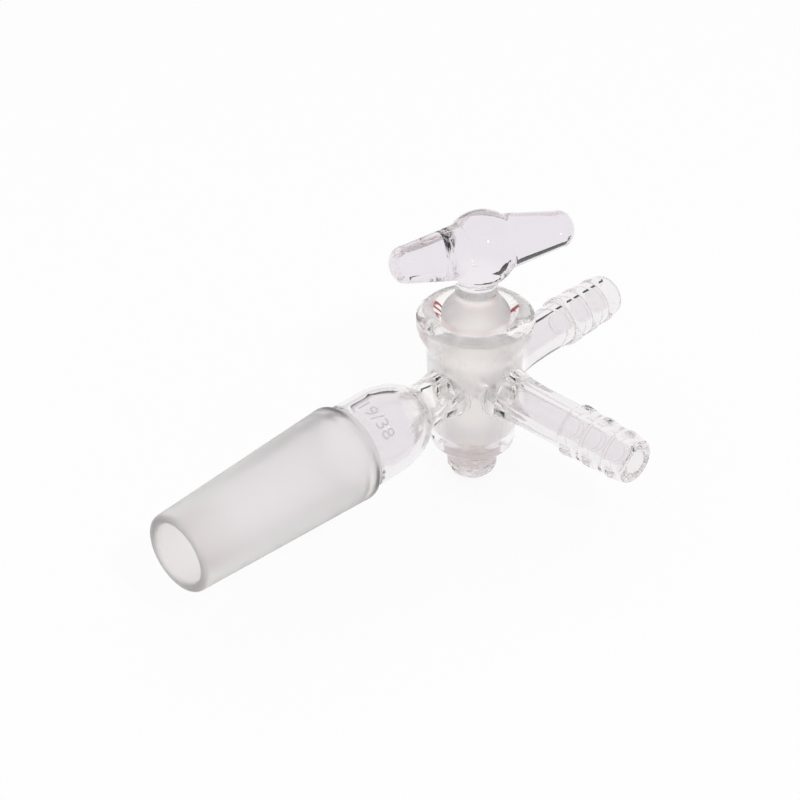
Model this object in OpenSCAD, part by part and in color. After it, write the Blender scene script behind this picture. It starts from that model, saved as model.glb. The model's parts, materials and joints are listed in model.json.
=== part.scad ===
// Three-way glass stopcock on a 19/38 ground cone.
// One fused glass body (ground cone, clear tube, barrel and two hose nozzles) and one solid
// glass key that turns in the barrel.
//
// Frame: +Z is up, along the axis that the key turns about. The origin is the centre of the
// ground cone's large end, its gauge plane. The cone points to -X, one nozzle lies in line
// with it to +X, and the other lies across it to -Y. All sizes are in millimetres.

/* [Ground cone] */
// Diameter of the cone at its large end, the first number of its size
cone_large_d = 18.8; // [17:0.1:24]
// Length of the ground zone, the second number of its size
cone_len = 38; // [28:0.5:50]
// Fall of the cone's diameter for each millimetre of its length
cone_taper = 0.1; // [0.08:0.01:0.12]
// Wall of the cone and of the clear tube behind it
cone_wall = 1.7; // [1.2:0.1:2.4]
// Length of the fire-polished lip past the ground zone
lip_len = 1.4; // [1.2:0.1:4]
// Length of the rounded rim between the ground zone and the clear tube
rim_len = 2.2; // [1.5:0.1:4]
// Drop from the cone's large end to the clear tube, on each side
rim_drop = 1.05; // [0.4:0.05:2]
// Length of the clear tube, from the cone's large end to the start of its dome
shoulder_len = 9.3; // [6:0.1:12]
// Length of the dome that closes the clear tube
dome_len = 11.6; // [8:0.1:14]

/* [Barrel] */
// Length of the arm between the dome's end and the barrel's side
arm_len = 5.3; // [3:0.1:12]
// Height of the barrel's mouth above the middle of the arms
barrel_top = 14.2; // [11.5:0.1:20]
// Depth of the barrel's lower face below the middle of the arms
barrel_bottom = 15.5; // [12.5:0.1:20]
// Wall of the barrel at its waist, between the ground bore and the outside
barrel_wall = 3.2; // [2:0.1:5]
// Wall of the barrel at its lower face
foot_wall = 2.4; // [1.5:0.1:4]
// Rounding of the barrel's lower rim
foot_round = 2; // [1:0.1:2.5]
// Widening of the bore at its lower end, on each side
relief = 0.7; // [0.3:0.1:1]
// Distance from the plug's top edge out to the crest of the mouth's rim
mouth_gap = 2.9; // [2:0.1:4]
// Width of the rounding of the mouth's rim, from its crest to its outer edge
mouth_round = 1.85; // [1:0.05:2.4]
// Height of the rounding of the mouth's rim
mouth_drop = 1; // [0.6:0.1:1.4]
// Length of the flare from the waist up to the mouth
flare_len = 8; // [6:0.1:9]
// Depth of the bell inside the mouth, down to the ground bore
funnel_depth = 2.2; // [1.4:0.1:4]

/* [Arm and nozzles] */
// Outer diameter of the arm and of both nozzle tubes
tube_d = 8.9; // [7.4:0.1:10.7]
// Bore of the arm and of both nozzles
tube_bore_d = 4.6; // [3.8:0.1:5.6]
// Plain length of each nozzle, from the barrel's side to the crest of the first barb
plain_len = 16.75; // [13:0.05:24]
// Number of barbs on each nozzle
barb_count = 3; // [1:1:5]
// Distance from one barb to the next
barb_pitch = 5.2; // [4:0.1:7]
// Height of the first barb's crest above the plain tube
barb_height = 0.7; // [0.4:0.05:1.2]
// Fall of crest height from one barb to the next
barb_fade = 0.175; // [0:0.025:0.2]
// Depth of the notch behind each barb, below its crest
barb_notch = 0.47; // [0.3:0.01:0.7]
// Length of each barb's steep flank, from its foot to its crest
barb_rise = 1.2; // [0.8:0.1:2]
// Length from the last crest to the open end
end_len = 3.6; // [2.5:0.1:6]
// Reach of the fused root of each tube, outwards from the barrel
root_reach = 7; // [4:0.5:9]
// Widening of each tube's root, on each side
root_rise = 1.8; // [1:0.1:3]
// Reach of the arm's fused root over the cone's dome
dome_root = 4.4; // [3.4:0.1:5.4]
// Length of the blown funnel from the dome's hollow into the arm's bore
dome_funnel = 3.8; // [3:0.1:5]

/* [Key] */
// Diameter of the ground plug at its top edge
plug_d = 13.1; // [10.9:0.1:15.8]
// Fall of the plug's diameter for each millimetre of its length
plug_taper = 0.1; // [0.08:0.01:0.12]
// Depth of the plug's top edge below the barrel's mouth
plug_recess = 0.1; // [0:0.1:1.2]
// Height of the ground zone's lower end above the barrel's lower face
ground_rise = 3.5; // [2:0.1:5]
// Running clearance between plug and bore, on each side
plug_gap = 0.03; // [0.01:0.01:0.08]
// Diameter of the passages through the plug and the barrel's wall
port_d = 4; // [2:0.1:4.8]
// Height of the plug's domed shoulder
plug_dome = 5.1; // [4:0.1:6.5]
// Diameter of the neck between plug and handle
neck_d = 7.9; // [6:0.1:9.5]
// Length of the plain neck, from the plug's shoulder to the handle's collar
neck_len = 1.5; // [0.5:0.1:6]
// Step from the plug's lower end in to the clear tip, on each side
tip_step = 0.34; // [0.1:0.01:1]
// Reach of the clear tip below the barrel's lower face
tip_reach = 7.9; // [5:0.1:12]
// Length of the rounded end of the tip
tip_dome = 3; // [1:0.1:4.5]

/* [Handle] */
// Length of the handle from tip to tip
handle_len = 37; // [30.5:0.1:46]
// Diameter of the ball in the handle's middle
ball_d = 14; // [12:0.1:16.8]
// Diameter of each handle arm where it leaves the ball
arm_root_d = 10.5; // [8.5:0.1:11.9]
// Diameter of each handle arm where its round end begins
arm_tip_d = 7; // [5:0.1:8.4]
// Length of the round end of each handle arm
arm_end_len = 2.7; // [1.5:0.1:4]
// Rounding of the weld between the ball and the arm towards the nozzles
back_weld = 4; // [1:0.5:6]
// Rounding of the sharper weld between the ball and the arm towards the cone
front_weld = 0.8; // [0.4:0.1:3]
// Offset of the handle's middle from the key's axis, along the handle, as joined by hand
handle_offset = 1; // [0:0.1:1.2]
// Turn of the handle away from the cone's line
handle_turn = 22; // [0:1:90]

/* [Hidden] */
$fn = 96;

// Cuts reach this far past the faces that they open.
past = 1;
// Half the angle of the small flat left on a rolled edge.
edge_flat = 8;
// Angle from the pole at which a dome ends in a small flat, so that no face is pinched.
pole = 10;
// Straight steps along a small rounding, along most curves and along a wide bend.
few_steps = 10;
curve_steps = 20;
wide_steps = 36;

clear_glass = [0.86, 0.85, 0.91, 0.45];
ground_glass = [0.80, 0.78, 0.80, 0.75];

// Key
plug_top = barrel_top - plug_recess;
plug_bottom = barrel_bottom - ground_rise;
plug_top_r = plug_d / 2;
neck_r = neck_d / 2;
tip_r = plug_r(-plug_bottom) - tip_step;
tip_end = barrel_bottom + tip_reach;
port_r = port_d / 2;

// Handle
ball_r = ball_d / 2;
// The collar between neck and ball starts below the ball and ends inside it.
collar_foot = plug_top + plug_dome + neck_len;
handle_z = collar_foot + ball_r * 1.1;
collar_top = handle_z - ball_r * 0.45;
collar_r = ball_r * 0.95;
arm_root_r = arm_root_d / 2;
arm_straight_end = handle_len / 2 - arm_end_len;
// Each arm tapers from here, a little inside the ball, to its round end.
arm_start = ball_r * 0.7;
arm_slope = atan((arm_root_r - arm_tip_d / 2) / (arm_straight_end - arm_start));
// The weld's curve dips this far into the ball, so that the two surfaces cross.
weld_bite = 0.01;

// Cone and clear tube
cone_large_r = cone_large_d / 2;
tube_shoulder_r = cone_large_r - rim_drop;
dome_end = shoulder_len + dome_len;
lip_end = cone_len + lip_len;
lip_r = cone_wall / 2;
lip_x = -lip_end + lip_r;
lip_mid_r = cone_r(lip_x) - lip_r;

// Barrel
waist_z = 2;
waist_r = bore_r(waist_z) + barrel_wall;
barrel_x = dome_end + arm_len + waist_r;
relief_r = bore_r(-plug_bottom) + relief;
foot_r = relief_r + foot_wall;
rim_round = min(foot_round, foot_wall * 0.9);
mouth_crest_r = plug_top_r + mouth_gap;
mouth_r = mouth_crest_r + mouth_round;
mouth_round_z = barrel_top - mouth_drop;
funnel_z = barrel_top - funnel_depth;
flare_foot_z = barrel_top - flare_len;
// The mouth keeps its full width for this far below its rounding.
mouth_band = 0.95;
// The waist widens by this much up to the foot of the flare.
waist_swell = 0.15;

// Arm and nozzles
tube_r = tube_d / 2;
tube_bore_r = tube_bore_d / 2;
root_end = waist_r + root_reach;
// The arm is thinnest at this share of its length, between its roots on barrel and dome.
arm_waist_share = 0.8;
arm_waist = waist_r + arm_len * arm_waist_share;
// Each root starts this far inside the barrel's side, at this angle on its curve.
root_depth = 2;
root_angle = 197;
// Angle on the curve of the dome's root at which it ends.
dome_root_angle = 339;
first_barb = waist_r + plain_len;
nozzle_reach = first_barb + (barb_count - 1) * barb_pitch + end_len;
nozzle_end_r = barb_r(barb_count - 1) - barb_notch;
// Half of the wall at the open end, so that the end is fully rounded.
end_round = (nozzle_end_r - tube_bore_r) * 0.45;
// The tube's wider bore starts this deep in the barrel's wall.
bore_start = waist_r - 1;

// Inside of the dome
hollow_r = tube_shoulder_r - cone_wall;
hollow_dome = dome_len - cone_wall;
// Angle on the dome at which its hollow leaves the round and runs into the arm's bore.
funnel_angle = 37;
funnel_start = shoulder_len + hollow_dome * cos(funnel_angle);

// Radius of the ground cone at x, which is negative along the cone.
function cone_r(x) = cone_large_r + cone_taper * x / 2;

// Radius of the ground plug, and of the bore that it turns in, at height z.
function plug_r(z) = plug_top_r - (plug_top - z) * plug_taper / 2;
function bore_r(z) = plug_r(z) + plug_gap;

// Crest radius of barb number i, counted from the barrel.
function barb_r(i) = tube_r + barb_height - i * barb_fade;

// Points on an ellipse about [cx, cy], from angle a0 to angle a1.
function arc(cx, cy, rx, ry, a0, a1, steps = curve_steps) =
    [for (i = [0 : steps]) let (a = a0 + (a1 - a0) * i / steps) [cx + rx * cos(a), cy + ry * sin(a)]];

// Points on a smooth step that leaves [x0, r0] and reaches [x1, r1] level with the axis.
function ease(x0, r0, x1, r1, steps = curve_steps) =
    [for (i = [0 : steps]) [x0 + (x1 - x0) * i / steps, r0 + (r1 - r0) * (1 - cos(180 * i / steps)) / 2]];

// Points on a curve that leaves [x0, r0] at a slope and settles level with the axis at [x1, r1].
function settle(x0, r0, x1, r1, steps = curve_steps) =
    [for (i = [0 : steps]) let (t = i / steps) [x0 + (x1 - x0) * t, r1 + (r0 - r1) * (1 - t) ^ 2]];

// Points on the outside of barb number i: a steep, rounded flank that rises from a crease.
function barb(i) =
    let (crest = first_barb + i * barb_pitch,
         crease_r = i == 0 ? tube_r : barb_r(i - 1) - barb_notch)
    arc(crest, crease_r, barb_rise, barb_r(i) - crease_r, 180, 90, few_steps);

// Points on the concave curve of the given radius that rounds the corner between the ball and
// an arm. Its centre lies outside the glass, a radius away from both.
function weld(radius) =
    let (off = arm_start * sin(arm_slope) + arm_root_r * cos(arm_slope) + radius,
         along = sqrt((ball_r + radius - weld_bite) ^ 2 - off ^ 2),
         x = off * sin(arm_slope) + along * cos(arm_slope),
         r = off * cos(arm_slope) - along * sin(arm_slope))
    arc(x, r, radius, radius, 180 + atan2(r, x), 270 - arm_slope);

// Turns a profile of [distance along the axis, radius] points about the Z axis.
module turned(profile) {
    rotate_extrude() polygon([for (p = profile) [p[1], p[0]]]);
}

// Turns a profile about the X axis.
module turned_x(profile) {
    rotate([0, 90, 0]) turned(profile);
}

// Cone, rim, clear tube and dome, as a solid. It runs from the lip to the dome's end.
module cone_outside() {
    lip = arc(lip_x, lip_mid_r, lip_r, lip_r, 180 - edge_flat, 90);
    turned_x(concat(
        [[lip[0][0], 0]],
        lip,
        ease(0, cone_large_r, rim_len, tube_shoulder_r),
        arc(shoulder_len, 0, dome_len, tube_shoulder_r, 90, pole, wide_steps),
        [[dome_end, 0]]));
}

// Hollow of the cone and the clear tube, open at the lip. It runs on as the arm's bore.
module cone_hollow() {
    turned_x(concat(
        [[-lip_end - past, 0], [-lip_end - past, lip_mid_r]],
        arc(lip_x, lip_mid_r, lip_r, lip_r, 180 + edge_flat, 270),
        ease(-rim_len, cone_r(-rim_len) - cone_wall, rim_len * 2, hollow_r),
        arc(shoulder_len, 0, hollow_dome, hollow_r, 90, funnel_angle, wide_steps),
        settle(funnel_start, hollow_r * sin(funnel_angle), funnel_start + dome_funnel, tube_bore_r),
        [[barrel_x - bore_start, tube_bore_r], [barrel_x - bore_start, 0]]));
}

// Barrel as a solid, from its rounded foot to its flared mouth.
module barrel_outside() {
    roll = arc(mouth_round_z, mouth_crest_r, mouth_drop, mouth_round, 90, edge_flat);
    turned(concat(
        [[-barrel_bottom, 0]],
        arc(-barrel_bottom + rim_round, foot_r - rim_round, rim_round, rim_round, 180, 90),
        [[waist_z, waist_r]],
        ease(flare_foot_z, waist_r + waist_swell, mouth_round_z - mouth_band, mouth_r),
        roll,
        [[roll[len(roll) - 1][0], 0]]));
}

// Ground bore of the barrel, its relief at the foot and the bell inside the mouth.
module barrel_bore() {
    turned(concat(
        [[-barrel_bottom - past, 0], [-barrel_bottom - past, relief_r]],
        ease(-barrel_bottom, relief_r, -plug_bottom, bore_r(-plug_bottom)),
        arc(funnel_z, mouth_crest_r, funnel_depth, mouth_crest_r - bore_r(funnel_z), -90, -edge_flat),
        [[barrel_top + past, mouth_crest_r], [barrel_top + past, 0]]));
}

// Fused root of a tube that leaves the barrel along +X: wide at the barrel, easing to the
// tube's own size at the given distance. It starts inside the barrel's wall.
function root_points(end) =
    concat([[0, 0], [0, tube_r + root_rise * 0.75]],
        arc(end, tube_r + root_rise, end - waist_r + root_depth, root_rise, root_angle, 270, wide_steps));

// Arm between the barrel and the cone's dome, laid along +X. It widens onto the dome and ends
// inside it.
module arm_outside() {
    over_dome = arc(arm_waist, tube_r + root_rise, dome_root, root_rise, 270, dome_root_angle, wide_steps);
    last = over_dome[len(over_dome) - 1];
    reach = max(barrel_x - shoulder_len - dome_len / 2, last[0] + past / 4);
    turned_x(concat(root_points(arm_waist), over_dome, [[reach, last[1]], [reach, 0]]));
}

// Hose nozzle as a solid, laid along +X: root, plain tube, barbs and a rounded open end.
module nozzle_outside() {
    turned_x(concat(
        root_points(root_end),
        [for (i = [0 : barb_count - 1]) each barb(i)],
        arc(nozzle_reach - end_round, nozzle_end_r - end_round, end_round, end_round, 90, 0, few_steps),
        [[nozzle_reach, 0]]));
}

// Port through the barrel's wall, laid along +X.
module port() {
    rotate([0, 90, 0]) cylinder(h = waist_r, r = port_r);
}

// Port and wider bore of a nozzle, with the rounded edge of its open end.
module nozzle_bore() {
    port();
    turned_x(concat(
        [[bore_start, 0], [bore_start, tube_bore_r]],
        arc(nozzle_reach - end_round, tube_bore_r + end_round, end_round, end_round, 270, 352, few_steps),
        [[nozzle_reach + past, tube_bore_r + end_round], [nozzle_reach + past, 0]]));
}

// Everything at the barrel, moved to its place.
module at_barrel() {
    translate([barrel_x, 0, 0]) children();
}

// One fused glass body. The cone, arm, barrel and nozzles are welded in the flame.
module stopcock_body() {
    color(clear_glass) difference() {
        union() {
            cone_outside();
            at_barrel() {
                barrel_outside();
                rotate(180) arm_outside();
                nozzle_outside();
                rotate(-90) nozzle_outside();
            }
        }
        cone_hollow();
        at_barrel() {
            barrel_bore();
            rotate(180) port();
            nozzle_bore();
            rotate(-90) nozzle_bore();
        }
    }
}

// Tip, plug, neck and collar of the key, as one turned solid.
module key_stem() {
    turned(concat(
        [[-tip_end, 0]],
        arc(-tip_end + tip_dome, 0, tip_dome, tip_r, 180 - pole, 90),
        ease(-barrel_bottom, tip_r, -plug_bottom, plug_r(-plug_bottom)),
        ease(plug_top, plug_top_r, plug_top + plug_dome, neck_r),
        ease(collar_foot, neck_r, collar_top, collar_r),
        [[handle_z, collar_r], [handle_z, 0]]));
}

// Ball and two tapered, round-ended arms, laid along X about the ball's centre.
module handle() {
    sphere(r = ball_r);
    handle_arm(weld(back_weld));
    mirror([1, 0, 0]) handle_arm(weld(front_weld));
}

module handle_arm(weld_points) {
    turned_x(concat(
        [[0, 0], [0, weld_points[0][1]]],
        weld_points,
        arc(arm_straight_end, 0, arm_end_len, arm_tip_d / 2, 90, pole),
        [[handle_len / 2, 0]]));
}

// T-shaped passage through the plug: one bore right through, in line with the handle, and
// one from its middle to the side.
module key_ports() {
    rotate([0, 90, 0]) cylinder(h = plug_d * 2, r = port_r, center = true);
    rotate([90, 0, 0]) cylinder(h = plug_d, r = port_r);
}

// The turning key: ground plug, clear tip, neck and T handle in one piece of glass.
module stopcock_key() {
    color(ground_glass) at_barrel() rotate(-handle_turn) difference() {
        union() {
            key_stem();
            translate([handle_offset, 0, handle_z]) handle();
        }
        key_ports();
    }
}

stopcock_body();
stopcock_key();
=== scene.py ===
# %% [markdown]
# # A three-way glass stopcock
# A stopcock is a tap made of glass. This one has a ground cone that plugs into a flask, an
# upright barrel, two hose nozzles, and a ground key with a T handle that turns in the barrel.
# The shapes were built as exact solids. Here they get their looks: clear glass that was polished
# by a flame, and fine grey ground glass where one surface has to seal against another.

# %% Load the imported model
import json
import math

import bmesh
import bpy
from mathutils.bvhtree import BVHTree
from mathutils import Matrix, Vector


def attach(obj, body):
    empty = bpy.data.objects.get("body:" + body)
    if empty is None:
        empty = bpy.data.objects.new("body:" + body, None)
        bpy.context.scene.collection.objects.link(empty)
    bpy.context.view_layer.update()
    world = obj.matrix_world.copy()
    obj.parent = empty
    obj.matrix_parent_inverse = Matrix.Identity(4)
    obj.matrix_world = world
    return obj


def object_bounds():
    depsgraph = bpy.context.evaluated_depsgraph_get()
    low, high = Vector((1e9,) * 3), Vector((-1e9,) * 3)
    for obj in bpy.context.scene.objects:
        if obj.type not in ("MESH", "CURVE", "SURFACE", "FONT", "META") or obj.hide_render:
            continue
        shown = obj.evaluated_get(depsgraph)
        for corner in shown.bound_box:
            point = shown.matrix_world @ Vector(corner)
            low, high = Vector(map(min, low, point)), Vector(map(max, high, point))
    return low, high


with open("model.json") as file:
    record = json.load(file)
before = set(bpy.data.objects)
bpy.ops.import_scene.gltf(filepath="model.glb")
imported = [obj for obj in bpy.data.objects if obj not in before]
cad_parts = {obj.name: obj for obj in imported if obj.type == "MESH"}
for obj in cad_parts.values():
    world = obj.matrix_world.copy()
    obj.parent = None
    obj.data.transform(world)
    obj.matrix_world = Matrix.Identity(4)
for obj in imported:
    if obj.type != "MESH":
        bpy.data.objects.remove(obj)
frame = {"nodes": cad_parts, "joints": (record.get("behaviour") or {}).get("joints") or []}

scene = bpy.context.scene
cad_low, cad_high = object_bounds()
body_glass = frame["nodes"]["stopcock_body"]
key_glass = frame["nodes"]["stopcock_key"]
key_axis_x = frame["joints"][0]["pos_m"][0]
print("pieces:", sorted(frame["nodes"]), "key axis at x =", key_axis_x)

# %% [markdown]
# ## Sizes that the looks need
# The finishes change from ground to clear at edges of the solids, so the script needs a few of
# their sizes. They are in metres, in the model's own frame: the origin is the middle of the
# cone's large end, the cone points to -X, and the key turns about a vertical line. Each span is
# a lower and an upper limit. The last four numbers say how matt the ground glass is.

# %% Sizes of the ground zones
MM = 0.001
cone_large_r = 9.4 * MM          # cone's radius at its large end
cone_len = 38 * MM               # length of the cone's ground zone
cone_slope = 0.05                # loss of radius for each unit of length
tube_shoulder_r = 8.35 * MM      # radius of the clear tube behind the cone
plug_top_z = 14.1 * MM           # top edge of the ground plug
plug_bottom_z = -12 * MM         # lower end of the ground plug
plug_top_r = 6.55 * MM           # radius of the plug at its top edge
neck_foot_z = 19.2 * MM          # where the plug's dome meets the clear neck
funnel_foot_z = 12.0 * MM        # where the ground bore opens into the clear bell
barrel_waist_r = 9.175 * MM      # barrel's outer radius just above the arms
barb_creases = [24.7 * MM, 29.9 * MM, 35.1 * MM]  # from the key's axis, along each nozzle
tube_span = 2 * MM, 19.5 * MM          # the clear tube with its dome, along x
arm_span = 20.5 * MM, 25.5 * MM        # the short arm, along x
neck_span = neck_foot_z, 23.5 * MM     # the key's neck, along z
tip_span = -19.5 * MM, -15.8 * MM      # the key's moulded tip, along z
tip_band_span = -19 * MM, -16 * MM     # the brownish band round the tip, along z
cone_rough, bore_extra_rough = 0.37, 0.07   # roughness of the cone, and what the bore adds
plug_rough, dome_extra_rough = 0.12, 0.3    # roughness of the plug's side, and what its dome adds
print("lowest point of the part: z =", round(cad_low.z, 4))

# %% [markdown]
# ## The camera
# The camera looks down at the key from the corner between the cone and the side nozzle. It is a
# long lens from about 37 cm, so the tubes taper only slightly with distance. Its place is given
# as an aim point, two angles, a distance and two small offsets that keep the picture centred.

# %% Camera
aim = Vector((0.0354, 0, 0))
turn, tilt = math.radians(-45.659), math.radians(35.801)
rightwards = Vector((math.cos(turn), math.sin(turn), 0))
away = Vector((math.sin(turn), -math.cos(turn), 0))
backwards = away * math.cos(tilt) + Vector((0, 0, math.sin(tilt)))
upwards = backwards.cross(rightwards)
camera = bpy.data.objects.new("camera", bpy.data.cameras.new("camera"))
camera.data.sensor_width = 36
camera.data.lens = 87.12
camera.data.clip_start = 0.01
camera.data.clip_end = 30
view = Matrix((rightwards, upwards, backwards)).transposed().to_4x4()
view_distance, shift_right, shift_up = 0.372269, -0.014285, -0.004952
view.translation = aim + backwards * view_distance + rightwards * shift_right + upwards * shift_up
camera.matrix_world = view
scene.collection.objects.link(camera)
scene.camera = camera
print("camera at", [round(v, 3) for v in view.translation])

# %% [markdown]
# ## The studio
# Glass has almost no colour of its own. What the eye sees is the room, bent through it. In an all
# white room a glass part vanishes, so this studio keeps the floor white and stands a black board
# just out of view. The board is what draws the dark lines along the edges of the glass.
#
# `Light Path` tells the shader what kind of ray is looking. Rays from the camera, and rays that
# went through or off the glass, see a white room. Rays that only gather light see it dimmer, so
# that the part isn't washed out.

# %% White room
def link(tree, source, target):
    tree.links.new(source, target)

def seen_white(tree):
    """A value that is 1 for camera, glossy and transmission rays, and 0 for the rest."""
    path = tree.nodes.new("ShaderNodeLightPath")
    first = tree.nodes.new("ShaderNodeMath"); first.operation = "MAXIMUM"
    second = tree.nodes.new("ShaderNodeMath"); second.operation = "MAXIMUM"
    link(tree, path.outputs["Is Camera Ray"], first.inputs[0])
    link(tree, path.outputs["Is Glossy Ray"], first.inputs[1])
    link(tree, first.outputs[0], second.inputs[0])
    link(tree, path.outputs["Is Transmission Ray"], second.inputs[1])
    return second.outputs[0]

ROOM_LIGHT = 0.85                # strength of the room for rays that only gather light
world = bpy.data.worlds.new("white_room")
world.use_nodes = True
scene.world = world
room = world.node_tree
strength = room.nodes.new("ShaderNodeMapRange")
strength.inputs["To Min"].default_value = ROOM_LIGHT
strength.inputs["To Max"].default_value = 1
link(room, seen_white(room), strength.inputs["Value"])
room.nodes["Background"].inputs["Color"].default_value = (1, 1, 1, 1)
link(room, strength.outputs[0], room.nodes["Background"].inputs["Strength"])
print("room light", ROOM_LIGHT)

# %% Floor
FLOOR_GLOW = 0.9                 # share of the floor's look that is plain white, the rest is lit
floor_z = cad_low.z - 0.0002     # just under the lowest point of the part
sheet = bmesh.new()
bmesh.ops.create_grid(sheet, x_segments=1, y_segments=1, size=3)
bmesh.ops.translate(sheet, verts=sheet.verts, vec=(0, 0, floor_z))
floor_mesh = bpy.data.meshes.new("floor")
sheet.to_mesh(floor_mesh)
sheet.free()
floor = bpy.data.objects.new("floor", floor_mesh)
scene.collection.objects.link(floor)

paper = bpy.data.materials.new("white_paper")
paper.use_nodes = True
tree = paper.node_tree
lit = tree.nodes["Principled BSDF"]
lit.inputs["Base Color"].default_value = (0.9, 0.9, 0.9, 1)
lit.inputs["Roughness"].default_value = 0.9
glow = tree.nodes.new("ShaderNodeEmission")
blend = tree.nodes.new("ShaderNodeMixShader")
share = tree.nodes.new("ShaderNodeMath"); share.operation = "MULTIPLY"
share.inputs[1].default_value = FLOOR_GLOW
link(tree, seen_white(tree), share.inputs[0])
link(tree, share.outputs[0], blend.inputs[0])
link(tree, lit.outputs[0], blend.inputs[1])
link(tree, glow.outputs[0], blend.inputs[2])
link(tree, blend.outputs[0], tree.nodes["Material Output"].inputs["Surface"])
floor_mesh.materials.append(paper)
print("floor at z =", round(floor_z, 4))

# %% Black board
def direction(azimuth, elevation):
    """Unit vector at a compass angle from +X and a height above the floor, in degrees."""
    a, e = math.radians(azimuth), math.radians(elevation)
    return Vector((math.cos(a) * math.cos(e), math.sin(a) * math.cos(e), math.sin(e)))

card_black = bpy.data.materials.new("black_card")
card_black.use_nodes = True
card_shader = card_black.node_tree.nodes["Principled BSDF"]
card_shader.inputs["Base Color"].default_value = (0.006, 0.006, 0.007, 1)
card_shader.inputs["Roughness"].default_value = 1

def black_board(name, azimuth, distance, outline):
    """An upright board that faces the key's axis, seen by glossy and refracted rays only. Each
    corner of the outline is (distance across, height)."""
    board = bmesh.new()
    board.faces.new([board.verts.new((across, 0, height)) for across, height in outline])
    facing = Matrix.Rotation(math.radians(azimuth + 90), 4, "Z")
    facing.translation = aim + direction(azimuth, 0) * distance
    bmesh.ops.transform(board, matrix=facing, verts=board.verts)
    mesh = bpy.data.meshes.new(name)
    board.to_mesh(mesh)
    board.free()
    mesh.materials.append(card_black)
    piece = bpy.data.objects.new(name, mesh)
    scene.collection.objects.link(piece)
    piece.visible_camera = False
    piece.visible_diffuse = False
    piece.visible_shadow = False

def in_mm(*corners):
    return [(across * MM, height * MM) for across, height in corners]

black_board("card_behind", 45, 0.14, in_mm(
    (-15, 26.5), (45, 27), (54, 22.5), (64, 5), (88, -3), (96, -5),
    (96, 38), (80, 48), (48, 66), (-15, 68)))
print("black board hung")

# %% Soft lamps
def soft_lamp(name, azimuth, elevation, distance, size, power):
    """A round lamp that faces the key: angles in degrees, distance and size in metres, watts."""
    lamp = bpy.data.lights.new(name, "AREA")
    lamp.shape = "DISK"
    lamp.size = size
    lamp.energy = power
    holder = bpy.data.objects.new(name, lamp)
    outward = direction(azimuth, elevation)
    holder.location = aim + outward * distance
    holder.rotation_euler = outward.to_track_quat("Z", "Y").to_euler()
    scene.collection.objects.link(holder)

soft_lamp("lamp_front", -115, 46, 0.7, 0.055, 0.9)
soft_lamp("lamp_side", 179, 28, 0.7, 0.03, 0.05)

# %% [markdown]
# ## Glass
# Both pieces are the same borosilicate glass, so they share one recipe. `Transmission` at 1 makes
# the Principled shader a glass, and its roughness is what tells ground glass from clear. The
# grinding only touches some zones, so the roughness comes from masks on the object's own
# coordinates. The tint is paler on the ground zones, because light that crosses several of them
# loses some on the way. A faint absorption in the volume deepens the tint of thick glass.
# A few darker tints laid over these are painted shade.

# %% Glass recipe
class Recipe:
    """Short names for the shader nodes that the glass recipe uses."""
    def __init__(self, tree):
        self.tree = tree

    def node(self, kind, **inputs):
        made = self.tree.nodes.new(kind)
        for name, value in inputs.items():
            made.inputs[name.replace("_", " ")].default_value = value
        return made

    def math(self, operation, a, b=0.0, c=None):
        made = self.tree.nodes.new("ShaderNodeMath")
        made.operation = operation
        for socket, value in zip(made.inputs, (a, b, c)):
            if value is None:
                continue
            if isinstance(value, (int, float)):
                socket.default_value = value
            else:
                link(self.tree, value, socket)
        return made.outputs[0]

    def step(self, value, start, end):
        """0 below start and 1 above end, with a smooth ramp between them."""
        made = self.tree.nodes.new("ShaderNodeMapRange")
        made.interpolation_type = "SMOOTHSTEP"
        made.inputs["From Min"].default_value = start
        made.inputs["From Max"].default_value = end
        link(self.tree, value, made.inputs["Value"])
        return made.outputs[0]

    def radius(self, a, b):
        squares = self.math("MULTIPLY", a, a), self.math("MULTIPLY", b, b)
        return self.math("SQRT", self.math("ADD", *squares))

CLEAR_ROUGH = 0.015              # roughness of fire-polished glass
PALE_TINT = (1.0, 0.985, 0.975, 1)
print("clear glass has roughness", CLEAR_ROUGH)

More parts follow.
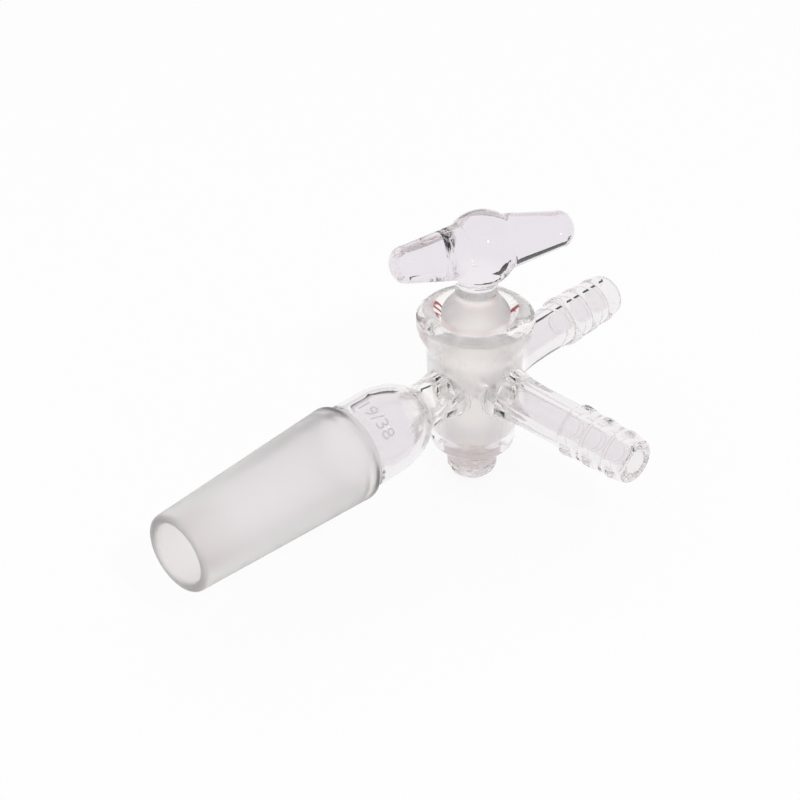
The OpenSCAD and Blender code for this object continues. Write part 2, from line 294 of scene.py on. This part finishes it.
# %% Glass material
def glass_material(name, clear_tint, ground_mask, pale_mask, rough_zones,
                   painted_shade_mask, painted_shade_color, shade_grain):
    """Glass with one tint where it is clear and a paler one where its pale mask is 1. The ground
    mask switches on the roughness of rough_zones, and the shade mask paints shade in as a darker
    tint, which the grain breaks up into specks."""
    material = bpy.data.materials.new(name)
    material.use_nodes = True
    tree = material.node_tree
    r = Recipe(tree)
    shader = tree.nodes["Principled BSDF"]
    shader.inputs["IOR"].default_value = 1.474
    shader.inputs["Transmission Weight"].default_value = 1
    absorb = tree.nodes.new("ShaderNodeVolumeAbsorption")
    absorb.inputs["Color"].default_value = (0.90, 0.86, 0.85, 1)
    absorb.inputs["Density"].default_value = 7
    link(tree, absorb.outputs[0], tree.nodes["Material Output"].inputs["Volume"])

    place = tree.nodes.new("ShaderNodeTexCoord").outputs["Object"]
    split = tree.nodes.new("ShaderNodeSeparateXYZ")
    link(tree, place, split.inputs[0])
    mask = ground_mask(r, *split.outputs[:3])
    pale = pale_mask(r, *split.outputs[:3])

    tint = tree.nodes.new("ShaderNodeValToRGB")
    tint.color_ramp.elements[0].color = clear_tint
    tint.color_ramp.elements[1].color = PALE_TINT
    link(tree, pale, tint.inputs["Fac"])
    # Painted shade: a darker tint laid over the glass where the shade mask is 1.
    shaded = tree.nodes.new("ShaderNodeMix")
    shaded.data_type = "RGBA"
    factor, base, overlay = (shaded.inputs[i] for i in (0, 6, 7))
    speck = r.node("ShaderNodeTexNoise", Scale=1500, Detail=3)
    link(tree, place, speck.inputs["Vector"])
    uneven = r.math("MULTIPLY_ADD", speck.outputs["Fac"], shade_grain, 1 - shade_grain / 2)
    link(tree, r.math("MULTIPLY", painted_shade_mask(r, *split.outputs[:3]), uneven), factor)
    link(tree, tint.outputs["Color"], base)
    overlay.default_value = painted_shade_color
    link(tree, shaded.outputs[2], shader.inputs["Base Color"])

    grain = r.node("ShaderNodeTexNoise", Scale=5200, Detail=2)
    link(tree, place, grain.inputs["Vector"])
    cloud = r.node("ShaderNodeTexNoise", Scale=260, Detail=3)
    link(tree, place, cloud.inputs["Vector"])
    patchy = r.math("MULTIPLY_ADD", cloud.outputs["Fac"], 0.4, 0.8)
    rough = r.math("MULTIPLY", rough_zones(r, *split.outputs[:3]), patchy)
    roughness = r.math("ADD", r.math("MULTIPLY", mask, rough), CLEAR_ROUGH)
    link(tree, roughness, shader.inputs["Roughness"])

    wave = r.node("ShaderNodeTexNoise", Scale=150, Detail=1)
    link(tree, place, wave.inputs["Vector"])
    fine = r.math("MULTIPLY", r.math("MULTIPLY", grain.outputs["Fac"], mask), 0.12)
    height = r.math("ADD", wave.outputs["Fac"], fine)
    bump = r.node("ShaderNodeBump", Strength=1.0, Distance=0.00006)
    link(tree, height, bump.inputs["Height"])
    link(tree, bump.outputs[0], shader.inputs["Normal"])
    return material

# %% [markdown]
# ## Which zones are ground
# On the body, the outside of the cone and the inside of the barrel are ground. On the key, the
# plug and its domed shoulder are. Each mask is a few comparisons of height and radius, and it
# gets the shader's x, y and z in metres. A ramp between two limits keeps every edge soft.

# %% Parts of masks
def opposite(r, value):
    return r.math("SUBTRACT", 1, value)

def share_of(r, value, share):
    return r.math("MULTIPLY", value, share)

def between(r, value, low, high, soft):
    """1 from low to high, with a ramp of the given softness outside each end."""
    past_low, past_high = r.step(value, low - soft, low), r.step(value, high, high + soft)
    return r.math("MULTIPLY", past_low, opposite(r, past_high))

def strongest(r, first, *others):
    for other in others:
        first = r.math("MAXIMUM", first, other)
    return first

def from_key_axis(r, x, y):
    return r.radius(r.math("SUBTRACT", x, key_axis_x), y)

def along_nozzles(r, x, y):
    """Distance from the key's axis along whichever nozzle is nearer."""
    return r.math("MAXIMUM", r.math("SUBTRACT", x, key_axis_x), r.math("MULTIPLY", y, -1))

# %% Masks of the body
def body_ground(r, x, y, z):
    """1 on the outside of the cone with its lip and rim, the barrel's bore and its ports."""
    from_cone_axis, from_axis = r.radius(y, z), from_key_axis(r, x, y)
    skin = r.math("SUBTRACT", from_cone_axis, r.math("MULTIPLY_ADD", x, cone_slope, cone_large_r))
    outside = r.step(skin, -0.9 * MM, -0.6 * MM)
    cone = r.math("MULTIPLY", outside, between(r, x, -cone_len, 0, 0.3 * MM))
    lip = opposite(r, r.step(x, -cone_len, -cone_len + 0.6 * MM))
    rim = r.step(from_cone_axis, 7.7 * MM, 8.0 * MM)
    rim = r.math("MULTIPLY", rim, between(r, x, 0, 1.7 * MM, 0.3 * MM))
    bore_r = r.math("MULTIPLY_ADD", z, cone_slope, plug_top_r - plug_top_z * cone_slope)
    near_bore = opposite(r, r.step(r.math("SUBTRACT", from_axis, bore_r), 0.3 * MM, 0.6 * MM))
    bore = r.math("MULTIPLY", near_bore, between(r, z, plug_bottom_z, funnel_foot_z, 0.4 * MM))
    from_port = r.math("MINIMUM", from_cone_axis, r.radius(r.math("SUBTRACT", x, key_axis_x), z))
    near_port = opposite(r, r.step(from_port, 2.1 * MM, 2.2 * MM))
    port = r.math("MULTIPLY", near_port, opposite(r, r.step(from_axis, 8.2 * MM, 8.4 * MM)))
    return strongest(r, cone, lip, rim, bore, port)

def body_pale(r, x, y, z):
    """1 on the ground zones, the arm and the barrel's wall, which is backed by ground glass, and
    less on the flare, the nozzles and the clear tube."""
    wall = opposite(r, r.step(from_key_axis(r, x, y), 10.5 * MM, 12 * MM))
    wall = r.math("MULTIPLY", wall, between(r, z, plug_bottom_z, funnel_foot_z, 1 * MM))
    flare = share_of(r, r.step(z, funnel_foot_z - 1 * MM, funnel_foot_z), 0.9)
    nozzles = share_of(r, r.step(along_nozzles(r, x, y), 11.5 * MM, 13.5 * MM), 0.22)
    arm = between(r, x, *arm_span, 1 * MM)
    tube = share_of(r, between(r, x, *tube_span, 1 * MM), 0.2)
    return strongest(r, body_ground(r, x, y, z), wall, flare, nozzles, arm, tube)

def body_rough(r, x, y, z):
    """Roughness of the ground zones: the cone is a little finer than the barrel's bore."""
    return r.math("ADD", cone_rough, share_of(r, r.step(x, 0, 20 * MM), bore_extra_rough))

def body_painted_shade(r, x, y, z):
    """Painted shade: a darker band round the cone's rim, a shade inside its open end, and a thin
    dark line in each crease of the barbs."""
    rim = share_of(r, between(r, x, -1.1 * MM, 1.2 * MM, 0.5 * MM), 0.35)
    inner_r = r.math("MULTIPLY_ADD", x, cone_slope, cone_large_r - 1 * MM)
    hollow = r.step(r.math("SUBTRACT", inner_r, r.radius(y, z)), 0, 0.2 * MM)
    shade = share_of(r, r.math("MULTIPLY", hollow, opposite(r, r.step(x, -36 * MM, -26 * MM))), 0.8)
    along = along_nozzles(r, x, y)
    line, soft = 0.08 * MM, 0.06 * MM
    creases = [between(r, along, crease - line, crease + line, soft) for crease in barb_creases]
    return strongest(r, rim, shade, *creases)

# %% Masks of the key
def key_ground(r, x, y, z):
    """1 on the plug and its dome, and a little on the moulded tip."""
    plug = between(r, z, plug_bottom_z, neck_foot_z, 0.3 * MM)
    tip = share_of(r, between(r, z, *tip_span, 0.4 * MM), 0.3)
    return strongest(r, plug, tip)

def key_pale(r, x, y, z):
    """1 on the plug and its dome, and over half on the neck above them."""
    plug = between(r, z, plug_bottom_z, neck_foot_z, 0.3 * MM)
    neck = share_of(r, between(r, z, *neck_span, 0.8 * MM), 0.6)
    return strongest(r, plug, neck)

def key_rough(r, x, y, z):
    """Roughness of the ground zones: fine on the plug's side, coarser on its dome."""
    above_edge = r.step(z, plug_top_z - 0.1 * MM, plug_top_z + 0.1 * MM)
    return r.math("ADD", plug_rough, share_of(r, above_edge, dome_extra_rough))

def key_painted_shade(r, x, y, z):
    """Painted shade: a brownish band round the tip, just below the barrel's foot."""
    return between(r, z, *tip_band_span, 0.6 * MM)

# %% Finishes
# The darker colours passed below are painted shade: on the cone's rim, hollow and barb creases, and
# in specks round the key's tip.
body_glass.material_slots[0].material = glass_material(
    "body_glass", clear_tint=(0.872, 0.846, 0.868, 1), ground_mask=body_ground, pale_mask=body_pale,
    rough_zones=body_rough, painted_shade_mask=body_painted_shade, painted_shade_color=(0.70, 0.66, 0.65, 1), shade_grain=0)
key_glass.material_slots[0].material = glass_material(
    "key_glass", clear_tint=(0.828, 0.789, 0.832, 1), ground_mask=key_ground, pale_mask=key_pale,
    rough_zones=key_rough, painted_shade_mask=key_painted_shade, painted_shade_color=(0.44, 0.38, 0.33, 1), shade_grain=2)
print("finishes:", [m.name for m in bpy.data.materials])

# %% [markdown]
# ## Marks on the glass
# The clear tube carries the size of its ground cone, etched by sand or acid, and the barrel
# carries the size of its bore, printed in red and fired on. Each is a line of text that is made a
# mesh, cut into small squares so that it can bend, given a hair's thickness, and wrapped round
# its glass. The print goes round the back of the flare, where its ends show through the glass.

# %% Bent text
def text_mesh(words, size, strip):
    """Flat mesh of a line of text from x = 0 upwards, cut both ways every strip."""
    curve = bpy.data.curves.new(words, "FONT")
    curve.body = words
    curve.size = size
    curve.resolution_u = 3
    holder = bpy.data.objects.new(words, curve)
    scene.collection.objects.link(holder)
    finished = holder.evaluated_get(bpy.context.evaluated_depsgraph_get())
    flat = bpy.data.meshes.new_from_object(finished)
    bpy.data.objects.remove(holder)
    letters = bmesh.new()
    letters.from_mesh(flat)
    bmesh.ops.remove_doubles(letters, verts=letters.verts, dist=size * 0.002)
    width = max(v.co.x for v in letters.verts)
    for way in (Vector((1, 0, 0)), Vector((0, 1, 0))):
        for cut in range(-2, int(width / strip) + 1):
            parts = letters.verts[:] + letters.edges[:] + letters.faces[:]
            place = way * cut * strip
            bmesh.ops.bisect_plane(letters, geom=parts, plane_co=place, plane_no=way)
    return letters, width

def mark(name, letters, thickness, wrap, material):
    """Thickens flat letters, moves each point with wrap(along, up, out), rides them on the body."""
    bmesh.ops.recalc_face_normals(letters, faces=letters.faces)
    base = letters.faces[:]
    raised = bmesh.ops.extrude_face_region(letters, geom=base)
    tops = [v for v in raised["geom"] if isinstance(v, bmesh.types.BMVert)]
    bmesh.ops.translate(letters, verts=tops, vec=(0, 0, thickness))
    for v in letters.verts:
        v.co = wrap(*v.co)
    bmesh.ops.recalc_face_normals(letters, faces=letters.faces)
    mesh = bpy.data.meshes.new(name)
    letters.to_mesh(mesh)
    letters.free()
    mesh.materials.append(material)
    piece = bpy.data.objects.new(name, mesh)
    scene.collection.objects.link(piece)
    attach(piece, "body")
    print(name, "triangles:", sum(len(p.vertices) - 2 for p in mesh.polygons))

def plain_material(name, color, roughness, alpha=1.0):
    material = bpy.data.materials.new(name)
    material.use_nodes = True
    shader = material.node_tree.nodes["Principled BSDF"]
    shader.inputs["Base Color"].default_value = (*color, 1)
    shader.inputs["Roughness"].default_value = roughness
    shader.inputs["Alpha"].default_value = alpha
    return material

# %% Etched cone size
LIFT = 0.015 * MM                # the marks start this far off the glass
etched = plain_material("etched_mark", (0.55, 0.52, 0.52), 0.8, 0.36)
letters, width = text_mesh("19/38", 4 * MM, 0.4 * MM)
end_angle, baseline_x = math.radians(33), 4.0 * MM

def round_tube(along, up, out):
    """Reads downwards round the clear tube, with the tops of the digits towards the barrel."""
    angle = end_angle + (width - along) / tube_shoulder_r
    radius = tube_shoulder_r + LIFT + out
    return Vector((baseline_x + up, -math.cos(angle) * radius, math.sin(angle) * radius))

mark("etched_cone_size", letters, 0.01 * MM, round_tube, etched)

# %% Printed bore size
red = plain_material("fired_red", (0.72, 0.02, 0.04), 0.45)
letters, width = text_mesh("4 mm BORE", 4.4 * MM, 0.4 * MM)
middle_angle, baseline_z = math.radians(48), 7.0 * MM
skin_points = [v.co for v in body_glass.data.vertices]
skin_faces = [p.vertices for p in body_glass.data.polygons]
glass_skin = BVHTree.FromPolygons(skin_points, skin_faces)

def round_flare(along, up, out):
    """Reads round the back of the flare, seen from outside, and lies on the glass that is there."""
    angle = middle_angle + (along - width / 2) / barrel_waist_r
    outward = Vector((math.cos(angle), math.sin(angle), 0))
    start = Vector((key_axis_x, 0, baseline_z + up)) + outward * 30 * MM
    on_glass, normal, face, gap = glass_skin.ray_cast(start, -outward)
    return on_glass + normal * (LIFT + out)

print("print runs round", round(math.degrees(width / barrel_waist_r)), "degrees")
mark("printed_bore_size", letters, 0.02 * MM, round_flare, red)

# %% [markdown]
# A ray that enters this part may cross a dozen surfaces before it leaves, so the number of
# bounces goes up.

# %% Finish
scene.view_settings.view_transform = "Standard"
scene.cycles.max_bounces = 40
scene.cycles.transmission_bounces = 40
scene.cycles.glossy_bounces = 12
